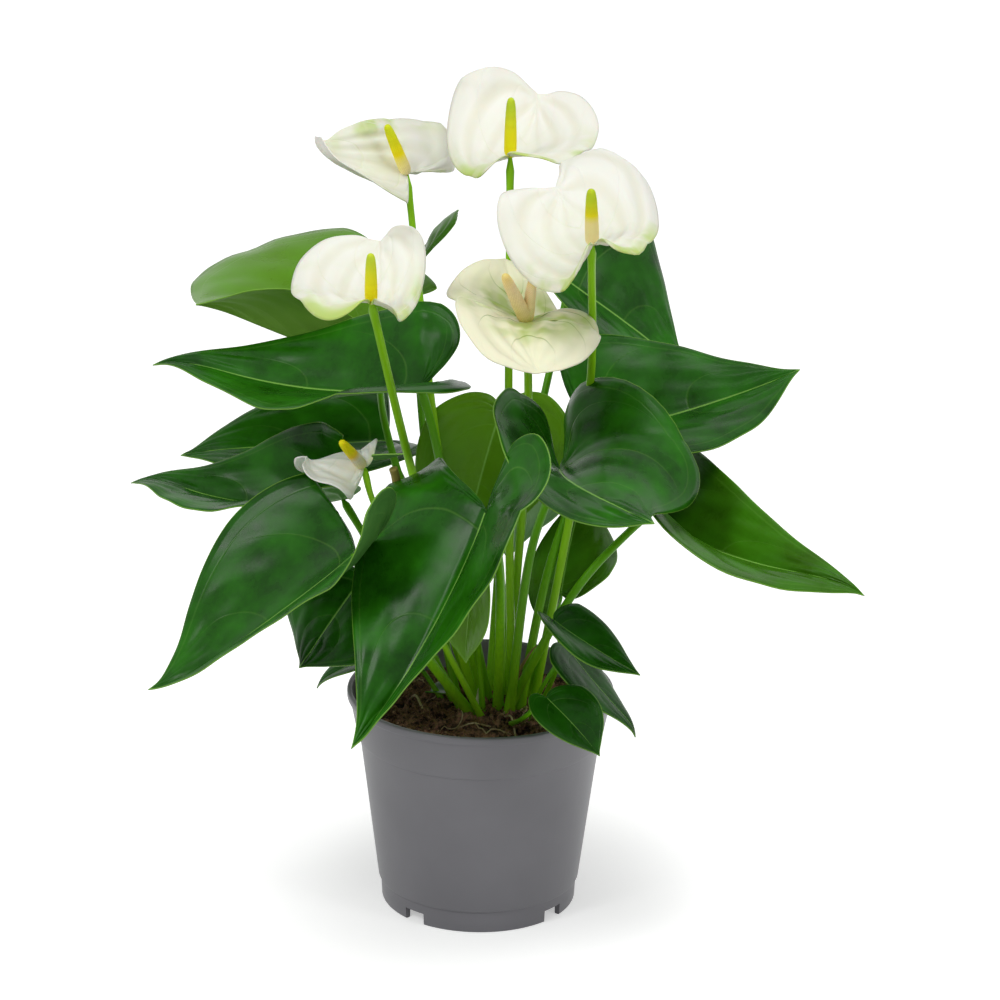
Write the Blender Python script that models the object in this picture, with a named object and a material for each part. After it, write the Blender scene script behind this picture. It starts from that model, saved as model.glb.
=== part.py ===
"""Potted anthurium: a round nursery pot of soil with twenty heart-shaped leaves and six flowers.

Units are metres in the scene and millimetres and degrees in the tables below. +Z is up, the pot
stands on z = 0 and its axis is the Z axis. The front of the plant looks along -Y.
"""
import math

import bmesh
import bpy
import numpy as np
from mathutils import Vector

for old in list(bpy.data.objects):
    bpy.data.objects.remove(old, do_unlink=True)

MM = 0.001
GAP = 0.4                # clearance between touching pieces, mm

# Pot, mm: (radius, height) pairs, the wall being one closed outline turned about Z.
POT_HEIGHT = 100.7
RIM_RADIUS = 60.0
LIP_HEIGHT = 3.6
LIP_OVERHANG = 1.3       # the lip stands out this far past the top of the band
LIP_LAND = 1.9           # width of the lip's flat top
EDGE_ROUND = 0.5
BAND_BOTTOM = 79.0       # height of the lower edge of the wide band under the lip
BAND_RADIUS = 55.3       # outer radius at that edge
BODY_TOP_RADIUS = 54.2
BODY_FOOT_RADIUS = 45.6
FOOT_HEIGHT = 10.4
FOOT_RADIUS = 44.0
FOOT_WALL = 2.4
FOOT_STEP = 0.3          # half the height of the step above the foot, and of the one under the band
WALL = 1.5
FLOOR_BOTTOM = 6.5
FLOOR_TOP = 8.5
POT_SEGMENTS = 48
NOTCHES = 4              # drainage notches through the foot ring
NOTCH_WIDTH = 10.5
NOTCH_HEIGHT = 5.5
NOTCH_CUT_DEPTH = 10.0   # the cutter reaches through the foot ring
NOTCH_START = 50.0       # bearing of the first notch, degrees from +X

# Soil, mm: a low mound that fills the pot.
SOIL_CROWN = 92.0
SOIL_EDGE = 88.0
SOIL_SPREAD = 27.0       # radius at which the mound has fallen to 60 % of its rise
SOIL_RINGS = (0, 9, 18, 28, 40)
SOIL_GAP = GAP + 0.2     # the turned wall's facets need a little more than the gap

LEAF_THICKNESS = 0.8
SPATHE_THICKNESS = 0.8
STEM_POINTS = 9          # points along a stem
STEM_END_GAP = 3.4       # a petiole ends this far short of its blade, mm
STEM_SIDE_GAP = 2.4      # and its last point is at least this far from the midrib's line
SPADIX_LIFT = 2.2        # a spadix starts this far above the spathe's base
PEDUNCLE_GAP = 3.4       # and a peduncle ends this far below it
SPADIX_SEGMENTS = 10
SEAM = 0.40              # share of the outline that belongs to the lobes behind the petiole
LOBE_END = -0.35         # the rise stays as it is beyond this, as a share of the midrib
LIFT_REACH = 0.3         # a lobe's lift is complete this far behind the base

# Outline of half a blade: (distance along the midrib, width), both as shares of the blade's size.
LEAF_OUTLINE = ((0, 0), (-.13, .07), (-.25, .26), (-.27, .55), (-.13, .86), (.08, 1.0),
                (.32, .93), (.56, .68), (.78, .33), (.92, .10), (1, 0))
SPATHE_OUTLINE = ((0, 0), (-.20, .07), (-.36, .28), (-.36, .60), (-.16, .90), (.16, 1.0),
                  (.52, .93), (.82, .68), (.96, .36), (.98, .12), (1, 0))

# Leaves. base, tip: ends of the midrib. left, right: half width, rise of that half at the base and
# at the tip, sweep towards the tip, size of the lobe, curl across the half, lift of the lobe.
# bends: arch, hook of the tip, sideways bend, nod of the lobes. root, via, stem: where the petiole
# leaves the soil, a point on its way, its radii.
LEAVES = {
    "01": dict(base=(-49, 60, 231), tip=(-130, 50, 263),
               left=(41, 50, 38, 42, 1, 0, 0), right=(80, 60, -17, 23, .4, 0, 0),
               bends=(-14, 21, 40, 0), root=(-4, 12), via=(-40, 18, 203), stem=(1.9, 1.6)),
    "02": dict(base=(-28, -1, 242), tip=(-148, 32, 240),
               left=(60, 11, -13, -9, 1.3, 12, -9), right=(39, 53, 26, -9, .32, 12, -56),
               bends=(-43, 43, 33, -5), root=(3, 9), via=(-20, -2, 212), stem=(2.2, 1.8)),
    "03": dict(base=(-46, 74, 192), tip=(-140, 73, 184),
               left=(46, 2, -12, 10, .8, 0, 0), right=(43, 25, 30, 1, .1, 0, 0),
               bends=(4, 9, 0, 0), root=(-11, 12), via=(-28, 42, 160), stem=(1.9, 1.5)),
    "04": dict(base=(-62, 3, 188), tip=(-158, 24, 187),
               left=(43, 30, -1, 21, .6, -5, 0), right=(37, 76, -2, -14, .02, 33, 51),
               bends=(-39, 58, -14, -8), root=(-9, -2), via=(-47, -8, 166), stem=(1.9, 1.6)),
    "05": dict(base=(-54, -80, 192), tip=(-141, -83, 131),
               left=(51, -6, 15, -40, 1.02, 33, 7), right=(64, -11, 27, 6, -0.06, 75, 0),
               bends=(-9, -27, 13, 43), root=(-5, -9), via=(-32, -39, 142), stem=(2.4, 1.9)),
    "06": dict(base=(2, -84, 214), tip=(-53, -130, 125),
               left=(64, 67, 32, -28, .21, -75, -9), right=(54, -18, 58, -19, -0.11, 42, -15),
               bends=(-7, -21, -3, 8), root=(8, -3), via=(8, -42, 170), stem=(2.3, 1.9)),
    "07": dict(base=(-53, 3, 152), tip=(-80, -26, 119),
               left=(39, -3, -5, 22, .25, 0, 0), right=(37, 11, -17, 5, .25, 0, 0),
               bends=(10, 0, -4, 0), root=(-12, 4), via=(-30, 3, 132), stem=(1.7, 1.4)),
    "08": dict(base=(-37, 15, 112), tip=(-74, 7, 96),
               left=(15, 10, 5, 0, 1, 0, 0), right=(18, 10, 3, 0, 1, 0, 0),
               bends=(26, 31, 0, 0), root=(-18, 9), via=(-27, 12, 104), stem=(1.1, .9)),
    "09": dict(base=(7, 38, 218), tip=(-12, 28, 146),
               left=(35, -58, -58, 0, .7, 0, 0), right=(32, 72, 66, 18, .5, 0, 0),
               bends=(10, -18, 0, 0), root=(4, 18), via=(8, 43, 165), stem=(1.9, 1.5)),
    "10": dict(base=(33, -47, 220), tip=(71, -120, 222),
               left=(62, 38, -15, 10, 1.49, -64, 47), right=(47, 45, -45, 13, .62, 58, 22),
               bends=(22, 3, 58, -22), root=(13, -7), via=(21, -17, 169), stem=(2.2, 1.8)),
    "11": dict(base=(51, 26, 213), tip=(141, 39, 240),
               left=(48, 49, 38, -12, .2, 0, 0), right=(45, 5, -20, 19, .3, 0, 0),
               bends=(-9, 0, 10, 0), root=(18, 0), via=(30, 5, 157), stem=(2.1, 1.8)),
    "12": dict(base=(38, 84, 266), tip=(95, 94, 224),
               left=(53, 60, 38, 0, .8, 0, 0), right=(31, -14, -21, 0, .8, 0, 0),
               bends=(5, -20, 0, 0), root=(12, 19), via=(20, 40, 185), stem=(2, 1.6)),
    "13": dict(base=(75, 12, 182), tip=(162, -80, 177),
               left=(34, 50, 42, -7, 1, 10, 0), right=(47, 60, -20, 26, .3, 12, -20),
               bends=(-10, 35, 50, 0), root=(13, -1), via=(42, -10, 152), stem=(2.1, 1.7)),
    "14": dict(base=(36, 23, 138), tip=(47, 77, 173),
               left=(16, 10, 5, 0, 1, 0, 0), right=(26, 27, -13, 0, .45, 0, 0),
               bends=(-11, -20, -9, 0), root=(21, 12), via=(29, 8, 119), stem=(1.6, 1.2)),
    "15": dict(base=(32, -42, 149), tip=(69, -64, 133),
               left=(18, 12, 9, 3, .3, 0, 0), right=(19, 23, -18, 11, .6, 0, 0),
               bends=(-8, 5, 0, 0), root=(26, -4), via=(35, -20, 123), stem=(1.1, .9)),
    "16": dict(base=(38, -33, 133), tip=(68, -52, 99),
               left=(14, -8, -14, -3, .1, 0, 0), right=(19, 6, 2, 7, .4, 0, 0),
               bends=(-10, 50, 0, 3), root=(21, -14), via=(28, -27, 113), stem=(1.1, .9)),
    "17": dict(base=(29, -62, 121), tip=(52, -78, 101),
               left=(16, 30, 40, 23, .4, 0, 0), right=(13, -11, -17, 14, .7, 0, 0),
               bends=(12, 0, 0, 0), root=(14, -20), via=(19, -46, 105), stem=(1.1, .9)),
    "18": dict(base=(-3, -47, 172), tip=(-6, -50, 132),
               left=(19, 24, 3, 9, 1, 0, 0), right=(22, 11, 17, 8, 1, 0, 0),
               bends=(10, 14, 0, 0), root=(1, -6), via=(-1, -9, 125), stem=(1.2, 1)),
    "19": dict(base=(-34, 101, 266), tip=(-63, 115, 243),
               left=(28, -26, 5, -28, .2, 0, 0), right=(26, 14, -17, -45, 1.6, 0, 0),
               bends=(-21, -7, -6, -3), root=(-4, 19), via=(-26, 67, 182), stem=(1.9, 1.5)),
    "20": dict(base=(14, 68, 177), tip=(12, 134, 112),
               left=(34, 8, 5, 0, 1, 0, 0), right=(34, 8, 5, 0, 1, 0, 0),
               bends=(15, 15, 0, 0), root=(9, 25), via=(12, 42, 135), stem=(1.6, 1.3)),
}

# Flowers. The spathe takes the leaf's terms. root, via, stem belong to the peduncle. spadices: tip
# of each finger and its radius; every finger stands on the spathe's base.
FLOWERS = {
    "1": dict(base=(10, 14, 342), tip=(22, 75, 356),
              left=(38, -27, 14, 43, .75, 12, -57), right=(33, 1, 20, 15, .79, 5, -19),
              bends=(-54, -16, 15, 63), root=(14, 5), via=(11, 4, 218), stem=(2, 1.6),
              spadices=(((10, 10, 367), 2.5),)),
    "2": dict(base=(-36, 65, 321), tip=(-76, 51, 341),
              left=(30, -50, -7, 21, .08, 55, 0), right=(32, 24, 76, -38, 1.19, 31, 20),
              bends=(-24, -71, -24, -25), root=(-1, 15), via=(-21, 26, 208), stem=(1.9, 1.5),
              spadices=(((-44, 59, 342), 2.4),)),
    "3": dict(base=(-46, -91, 306), tip=(-44, -43, 319),
              left=(34, 3, 14, 20, .88, -7, -33), right=(20, -24, 9, 55, 1.21, -3, 6),
              bends=(-53, -31, -8, 22), root=(-2, 0), via=(-31, -38, 218), stem=(2.1, 1.7),
              spadices=(((-46, -96, 327), 2.6),)),
    "4": dict(base=(44, -70, 326), tip=(29, -23, 338),
              left=(32, -63, -17, 34, 1.06, 23, 2), right=(45, 3, 11, 52, 1.48, -16, -57),
              bends=(-49, 16, 25, 105), root=(24, 5), via=(45, -2, 229), stem=(2, 1.6),
              spadices=(((43, -75, 347), 2.5),)),
    "5": dict(base=(18, -46, 287), tip=(30, -87, 279),
              left=(27, 6, -1, -2, .15, 0, 0), right=(36, 17, -14, -15, 1.85, 0, 0),
              bends=(-5, -31, 12, 45), root=(12, 12), via=(19, 3, 215), stem=(2, 1.7),
              spadices=(((8, -60, 310), 2.6), ((20, -50, 306), 2.3))),
    "6": dict(base=(-51, -48, 221), tip=(-75, -51, 226),
              left=(28, -60, -29, 7, .21, 71, -3), right=(29, 0, -38, 0, .48, -8, 43),
              bends=(50, -90, 11, 55), root=(0, -12), via=(-42, -42, 191), stem=(1.5, 1.3),
              spadices=(((-60, -60, 236), 2.5),)),
}


def material(name, colour, roughness, metallic=0.0):
    """One Principled material with a plain colour."""
    made = bpy.data.materials.new(name)
    made.use_nodes = True
    shader = made.node_tree.nodes["Principled BSDF"]
    shader.inputs["Base Color"].default_value = (*colour, 1.0)
    shader.inputs["Roughness"].default_value = roughness
    shader.inputs["Metallic"].default_value = metallic
    return made


def add_object(name, data, look, location=(0, 0, 0)):
    """Link an object of mesh or curve data, placed in millimetres."""
    data.materials.append(look)
    made = bpy.data.objects.new(name, data)
    made.location = Vector(location) * MM
    bpy.context.scene.collection.objects.link(made)
    return made


def smooth_curve(points, count):
    """Points along a Catmull-Rom curve through the given points."""
    given = np.array(points, float)
    knots = np.vstack([2 * given[0] - given[1], given, 2 * given[-1] - given[-2]])
    spans = len(given) - 1
    along = np.linspace(0, spans, count)
    span = np.minimum(along.astype(int), spans - 1)
    f = (along - span)[:, None]
    a, b, c, d = (knots[span + k] for k in range(4))
    return 0.5 * (2 * b + (c - a) * f + (2 * a - 5 * b + 4 * c - d) * f**2
                  + (3 * b - a - 3 * c + d) * f**3)


def level_frame(direction):
    """Right-handed frame, as columns: the direction, its left, and the upright across both."""
    forward = direction / np.linalg.norm(direction)
    up = np.array([0, 0, 1.0]) - forward * forward[2]
    up /= np.linalg.norm(up)
    return np.stack([forward, np.cross(up, forward), up], 1)


def blade_points(piece, outline, rows, columns):
    """Grid of a blade's middle surface in mm, relative to its base, as (rows, 2 columns - 1, 3).

    The midrib is a curve whose slope turns steadily by the arch, with the hook added near the tip
    and the nod behind the base. Each half runs outwards from it at the half's rise, which turns by
    the curl on the way to the outline; the sweep shears the half towards the tip, and the lift
    raises its lobe.
    """
    chord = np.subtract(piece["tip"], piece["base"]).astype(float)
    arch, hook, sideways, nod = np.radians(piece["bends"])
    along = np.linspace(-0.7, 1.3, 201)
    slope = -arch * np.clip(along, 0, None) - hook * np.clip((along - 0.7) / 0.3, 0, None) ** 2
    slope = np.where(along < 0, nod * along * 2, slope)
    turn = sideways * along
    tangent = np.stack([np.cos(slope) * np.cos(turn), np.cos(slope) * np.sin(turn), np.sin(slope)], -1)
    steps = (tangent[1:] + tangent[:-1]) / 2 * (along[1] - along[0])
    midrib = np.vstack([np.zeros(3), np.cumsum(steps, 0)])
    midrib -= midrib[np.argmin(abs(along))]
    span = midrib[np.argmin(abs(along - 1))]
    length = np.linalg.norm(chord) / np.linalg.norm(span)
    to_world = level_frame(chord) @ level_frame(span).T * length

    edge = smooth_curve(outline, rows)
    inner = np.clip((np.linspace(0, 1, rows) - SEAM) / (1 - SEAM), 0, 1)[:, None]
    across = np.linspace(0, 1, columns)[None, :]
    halves = []
    for side, terms in ((1, piece["left"]), (-1, piece["right"])):
        width, rise_base, rise_tip, sweep, lobe, curl, lift = terms
        reach = edge[:, :1] * np.where(edge[:, :1] < 0, lobe, 1)
        out = edge[:, 1:] * across * width / length
        at = inner + (reach - inner) * across + math.tan(math.radians(sweep)) * out
        rise = (rise_base + (rise_tip - rise_base) * np.clip(at, LOBE_END, 1)
                + lift * np.clip(-at / LIFT_REACH, 0, 1.5))
        bend = np.radians(curl) * edge[:, 1:] * across / 2
        rise = np.radians(rise) + bend
        out = out * np.sinc(bend / np.pi)
        centre = np.stack([np.interp(at, along, midrib[:, k]) for k in range(3)], -1)
        s, t = np.interp(at, along, slope), np.interp(at, along, turn)
        left = np.stack([-np.sin(t), np.cos(t), 0 * t], -1)
        up = np.cross(np.stack([np.cos(s) * np.cos(t), np.cos(s) * np.sin(t), np.sin(s)], -1), left)
        offset = (out * np.cos(rise) * side)[..., None] * left + (out * np.sin(rise))[..., None] * up
        halves.append((centre + offset) @ to_world.T)
    return np.concatenate([halves[0][:, ::-1], halves[1][:, 1:]], 1)


def add_blade(name, piece, outline, thickness, look, rows=14, columns=3):
    """A leaf blade or a spathe: a sheet of the blade's surface, thickened both ways."""
    grid = blade_points(piece, outline, rows, columns) * MM
    wide = grid.shape[1]
    quads = [(r * wide + c, (r + 1) * wide + c, (r + 1) * wide + c + 1, r * wide + c + 1)
             for r in range(rows - 1) for c in range(wide - 1)]
    sheet = bpy.data.meshes.new(name)
    sheet.from_pydata(grid.reshape(-1, 3).tolist(), [], quads)
    work = bmesh.new()
    work.from_mesh(sheet)
    bmesh.ops.remove_doubles(work, verts=work.verts, dist=0.02 * MM)
    bmesh.ops.triangulate(work, faces=work.faces)
    work.to_mesh(sheet)
    work.free()
    sheet.shade_smooth()
    blade = add_object(name, sheet, look, piece["base"])
    solidify = blade.modifiers.new("Thickness", "SOLIDIFY")
    solidify.thickness = thickness * MM
    solidify.offset = 0
    return blade


def add_stem(name, piece, end, look):
    """A petiole or peduncle: a tapering round tube from the soil through its via point to its end."""
    x, y = piece["root"]
    root = np.array([x, y, soil_height(math.hypot(x, y))])
    leaning = np.subtract(piece["via"], root)
    root[2] += GAP + piece["stem"][0] * np.linalg.norm(leaning[:2]) / np.linalg.norm(leaning)
    curve = bpy.data.curves.new(name, "CURVE")
    curve.dimensions = "3D"
    curve.bevel_depth = MM
    curve.bevel_resolution = 1
    curve.use_fill_caps = True
    spline = curve.splines.new("POLY")
    spline.points.add(STEM_POINTS - 1)
    route = smooth_curve([root, piece["via"], end], STEM_POINTS) - root
    for point, place, radius in zip(spline.points, route, np.linspace(*piece["stem"], STEM_POINTS)):
        point.co = (*(place * MM), 1)
        point.radius = radius
    return add_object(name, curve, look, root)


def stem_end(piece, gap):
    """The point short of the blade's base, along the stem's last stretch, that clears the blade."""
    base, via, tip = (np.array(piece[key], float) for key in ("base", "via", "tip"))
    course = (base - via) / np.linalg.norm(base - via)
    chord = (tip - base) / np.linalg.norm(tip - base)
    return base - course * max(gap, STEM_SIDE_GAP / np.linalg.norm(np.cross(course, chord)))


def turned(name, outline, segments, look, location=(0, 0, 0)):
    """A solid turned about Z from an outline of (radius, height) in mm, listed top to bottom."""
    profile = bpy.data.meshes.new(name)
    profile.from_pydata([(r * MM, 0, z * MM) for r, z in outline],
                        [(i, i + 1) for i in range(len(outline) - 1)], [])
    solid = add_object(name, profile, look, location)
    screw = solid.modifiers.new("Turn", "SCREW")
    screw.steps = screw.render_steps = segments
    screw.use_merge_vertices = True
    screw.merge_threshold = 0.00001
    screw.use_smooth_shade = True
    return solid


def soil_height(radius):
    """Height of the soil's mound at a distance from the pot's axis."""
    return SOIL_EDGE + (SOIL_CROWN - SOIL_EDGE) * math.exp(-((radius / SOIL_SPREAD) ** 2) / 2)


def inner_wall(height):
    """Inner radius of the pot at a height: the band above its lower edge, the body below it."""
    if height > BAND_BOTTOM:
        share = (height - BAND_BOTTOM) / (POT_HEIGHT - LIP_HEIGHT - BAND_BOTTOM)
        return BAND_RADIUS - WALL + share * (RIM_RADIUS - LIP_OVERHANG - BAND_RADIUS)
    share = (height - FLOOR_TOP) / (BAND_BOTTOM - FLOOR_TOP)
    return BODY_FOOT_RADIUS - WALL + share * (BODY_TOP_RADIUS - BODY_FOOT_RADIUS)


def add_pot(look):
    """The pot: a flat-lipped rim, a wide band, a tapered body and a notched foot ring."""
    lip_bottom = POT_HEIGHT - LIP_HEIGHT
    body_top, band_foot = BAND_BOTTOM - WALL, BAND_BOTTOM + EDGE_ROUND
    outline = (
        (0, FLOOR_TOP),
        (inner_wall(FLOOR_TOP), FLOOR_TOP),
        (inner_wall(body_top), body_top),
        (inner_wall(band_foot), band_foot),
        (inner_wall(lip_bottom), lip_bottom),
        (RIM_RADIUS - EDGE_ROUND - LIP_LAND, POT_HEIGHT),
        (RIM_RADIUS - EDGE_ROUND, POT_HEIGHT),
        (RIM_RADIUS, POT_HEIGHT - EDGE_ROUND),
        (RIM_RADIUS, lip_bottom + EDGE_ROUND),
        (RIM_RADIUS - LIP_OVERHANG, lip_bottom),
        (BAND_RADIUS, band_foot),
        (BAND_RADIUS - EDGE_ROUND, BAND_BOTTOM),
        (BODY_TOP_RADIUS, BAND_BOTTOM - FOOT_STEP),
        (BODY_FOOT_RADIUS, FOOT_HEIGHT + FOOT_STEP),
        (BODY_FOOT_RADIUS - 2 * EDGE_ROUND, FOOT_HEIGHT - FOOT_STEP),
        (FOOT_RADIUS, 0),
        (FOOT_RADIUS - FOOT_WALL, 0),
        (FOOT_RADIUS - FOOT_WALL + EDGE_ROUND, FLOOR_BOTTOM),
        (0, FLOOR_BOTTOM))
    pot = turned("pot", outline, POT_SEGMENTS, look)
    for number in range(NOTCHES):
        bearing = math.radians(NOTCH_START + 360 / NOTCHES * number)
        cutter_mesh = bpy.data.meshes.new(f"notch_{number}")
        work = bmesh.new()
        bmesh.ops.create_cube(work, size=1.0)
        size = Vector((NOTCH_CUT_DEPTH, NOTCH_WIDTH, 2 * NOTCH_HEIGHT)) * MM
        bmesh.ops.scale(work, vec=size, verts=work.verts)
        work.to_mesh(cutter_mesh)
        work.free()
        place = (FOOT_RADIUS * math.cos(bearing), FOOT_RADIUS * math.sin(bearing), 0)
        cutter = add_object(f"notch_{number}", cutter_mesh, look, place)
        cutter.rotation_euler.z = bearing
        cutter.hide_render = True
        cutter.display_type = "WIRE"
        cut = pot.modifiers.new(f"Notch {number}", "BOOLEAN")
        cut.operation = "DIFFERENCE"
        cut.object = cutter
    return pot


def add_soil(look):
    """The soil: everything inside the pot up to the mound, clear of the wall by the gap."""
    top = [(radius, soil_height(radius)) for radius in SOIL_RINGS]
    edge = inner_wall(SOIL_EDGE) - SOIL_GAP
    levels = (BAND_BOTTOM + EDGE_ROUND, BAND_BOTTOM - WALL, FLOOR_TOP + GAP)
    wall = [(inner_wall(level) - SOIL_GAP, level) for level in levels]
    outline = top + [(edge, soil_height(edge))] + wall + [(0, FLOOR_TOP + GAP)]
    return turned("soil", outline, POT_SEGMENTS, look)


def finger_outline(length, radius):
    """Outline of a spadix: a blunt finger, widest just above its foot."""
    shares = ((1, 0), (.97, .42), (.90, .66), (.72, .82), (.40, .96), (.12, 1), (.02, .8), (0, 0))
    return [(radius * across, length * along) for along, across in shares]


def add_spadix(name, piece, look):
    """The finger or fingers that stand on the spathe's base; two fingers are joined into one."""
    base = np.array(piece["base"], float)
    fingers = []
    for number, (tip, radius) in enumerate(piece["spadices"]):
        axis = np.subtract(tip, base)
        foot = base + axis / np.linalg.norm(axis) * SPADIX_LIFT
        length = np.linalg.norm(np.subtract(tip, foot))
        label = name if number == 0 else f"{name}_finger_{number}"
        finger = turned(label, finger_outline(length, radius), SPADIX_SEGMENTS, look, foot)
        finger.rotation_euler = Vector(axis).to_track_quat("Z", "Y").to_euler()
        fingers.append(finger)
    for extra in fingers[1:]:
        extra.hide_render = True
        extra.display_type = "WIRE"
        union = fingers[0].modifiers.new("Fork", "BOOLEAN")
        union.operation = "UNION"
        union.object = extra
    return fingers[0]


GREY_PLASTIC = material("grey_plastic", (0.23, 0.23, 0.24), 0.45)
SOIL_BROWN = material("soil_brown", (0.045, 0.026, 0.016), 0.95)
LEAF_GREEN = material("leaf_green", (0.035, 0.13, 0.02), 0.35)
STEM_GREEN = material("stem_green", (0.13, 0.28, 0.03), 0.45)
SPATHE_WHITE = material("spathe_white", (0.86, 0.87, 0.74), 0.4)
SPADIX_YELLOW = material("spadix_yellow", (0.85, 0.62, 0.08), 0.6)

add_pot(GREY_PLASTIC)
add_soil(SOIL_BROWN)
for key, leaf in LEAVES.items():
    add_blade(f"leaf_{key}", leaf, LEAF_OUTLINE, LEAF_THICKNESS, LEAF_GREEN)
    add_stem(f"petiole_{key}", leaf, stem_end(leaf, STEM_END_GAP), STEM_GREEN)
for key, flower in FLOWERS.items():
    add_blade(f"spathe_{key}", flower, SPATHE_OUTLINE, SPATHE_THICKNESS, SPATHE_WHITE)
    add_spadix(f"spadix_{key}", flower, SPADIX_YELLOW)
    add_stem(f"peduncle_{key}", flower, stem_end(flower, PEDUNCLE_GAP), STEM_GREEN)
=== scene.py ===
"""Potted anthurium: white spathes and glossy heart-shaped leaves over a grey nursery pot.

Tables are in millimetres and degrees, meshes in metres. +Z is up, the pot's axis is the Z axis and
the front of the plant looks along -Y.
"""
import math

import bmesh
import bpy
import numpy as np
from mathutils import Matrix, Vector


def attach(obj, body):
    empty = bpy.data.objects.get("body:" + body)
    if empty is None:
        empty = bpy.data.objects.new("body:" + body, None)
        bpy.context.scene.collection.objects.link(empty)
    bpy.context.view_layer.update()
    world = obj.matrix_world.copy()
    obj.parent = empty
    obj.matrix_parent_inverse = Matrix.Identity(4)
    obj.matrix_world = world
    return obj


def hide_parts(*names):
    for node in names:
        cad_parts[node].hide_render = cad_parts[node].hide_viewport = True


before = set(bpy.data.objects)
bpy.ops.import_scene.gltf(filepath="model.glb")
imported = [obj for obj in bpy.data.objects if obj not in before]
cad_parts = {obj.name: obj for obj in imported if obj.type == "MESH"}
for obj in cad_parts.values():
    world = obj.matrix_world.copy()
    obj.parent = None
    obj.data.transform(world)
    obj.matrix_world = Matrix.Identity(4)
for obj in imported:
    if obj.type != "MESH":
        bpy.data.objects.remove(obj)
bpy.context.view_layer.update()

MM = 0.001
SEAM = 0.40              # share of a blade's outline that belongs to the lobes behind the petiole
LOBE_END = -0.35         # a half's rise stays as it is beyond this, as a share of the midrib
LIFT_REACH = 0.3         # a lobe's lift is complete this far behind the base

# Relief of blades and spathes, in mm except for the number of ridges.
FULL_WIDTH = 40.0        # halves narrower than this have finer relief and veins, in proportion
RIDGE_COUNT = 3.6        # ridges between midrib and margin
DRIFT_LENGTH = 55.0      # the ridges wander over about this length
WAVE_LENGTH = 26.0       # length of the low ripples near the margin
GROOVE_WIDTH = 1.6       # half width of the groove along the midrib
BLADE_THICKNESS = 0.5

# Pot and soil, as (radius, height) sizes.
POT_HEIGHT = 100.7
RIM_RADIUS = 60.0
LIP_HEIGHT = 3.6
BAND_BOTTOM = 79.0
BAND_RADIUS = 55.3
BODY_TOP_RADIUS = 54.2
BODY_FOOT_RADIUS = 45.6
FOOT_HEIGHT = 10.4
FOOT_RADIUS = 44.0
FOOT_WALL = 2.4
WALL = 1.5
FLOOR_BOTTOM = 6.5
FLOOR_TOP = 8.5
NOTCH_BEARINGS = (50.0, 140.0, 230.0, 320.0)
NOTCH_WIDTH = 10.5
NOTCH_HEIGHT = 5.5
SOIL_CROWN = 92.0
SOIL_EDGE = 88.0
SOIL_SPREAD = 27.0

# Outline of half a blade: (distance along the midrib, width), both as shares of the blade's size.
LEAF_OUTLINE = ((0, 0), (-.13, .07), (-.25, .26), (-.27, .55), (-.13, .86), (.08, 1.0),
                (.32, .93), (.56, .68), (.78, .33), (.92, .10), (1, 0))
SPATHE_OUTLINE = ((0, 0), (-.20, .07), (-.36, .28), (-.36, .60), (-.16, .90), (.16, 1.0),
                  (.52, .93), (.82, .68), (.96, .36), (.98, .12), (1, 0))

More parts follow.
